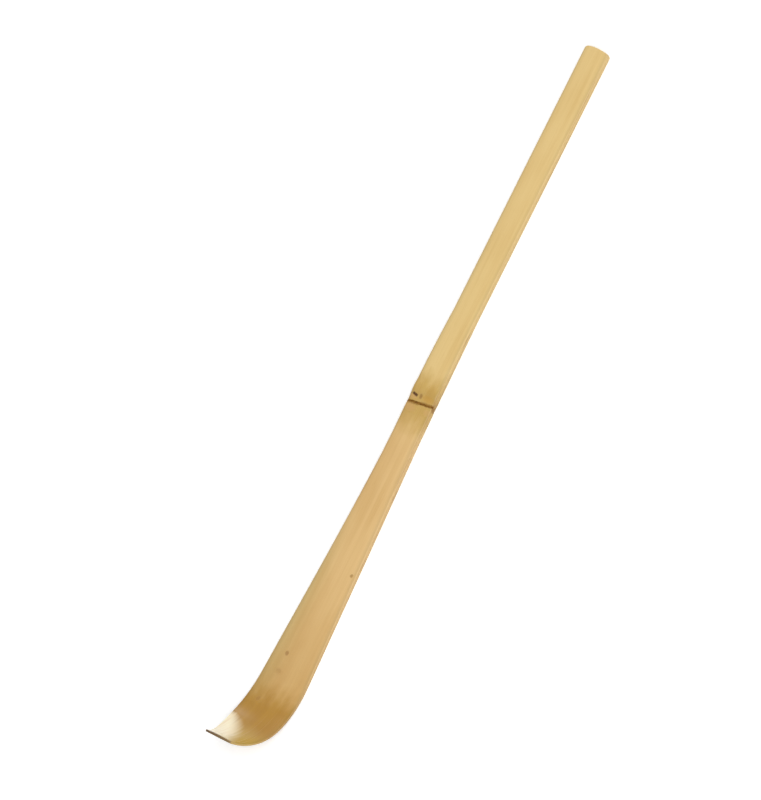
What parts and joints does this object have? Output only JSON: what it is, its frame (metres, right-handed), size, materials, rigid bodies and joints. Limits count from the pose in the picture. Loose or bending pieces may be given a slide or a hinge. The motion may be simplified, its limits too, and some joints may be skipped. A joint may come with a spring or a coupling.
{
  "type": "tea scoop",
  "caption": "Slim bamboo scoop for powdered tea: flat handle, growth node at mid length, widening blade and an upturned scoop with a square cut tip.",
  "frame": {"origin": "on the flat back, on the handle's middle line, under the sheath scar of the growth node", "axes": "+X along the slip to the scoop, +Y across the slip, +Z out of the skin side, which faces up"},
  "size_m": [0.18, 0.0125, 0.0186],
  "materials": {
    "handle_bamboo": "smooth bamboo skin, satin, fine lengthwise fibres",
    "node_bamboo": "bamboo skin at the growth node, darker gold brown, satin",
    "sheath": "dried brown sheath fibre, matt",
    "blade_bamboo": "smooth bamboo skin, satin, with small brown flecks",
    "bent_bamboo": "bamboo skin browned by heat in the bend, polished"
  },
  "bodies": {
    "root": {"handle": "handle_bamboo", "node_ring": "node_bamboo", "sheath_scar": "sheath", "blade": "blade_bamboo", "scoop_tip": "bent_bamboo"}
  },
  "joints": []
}
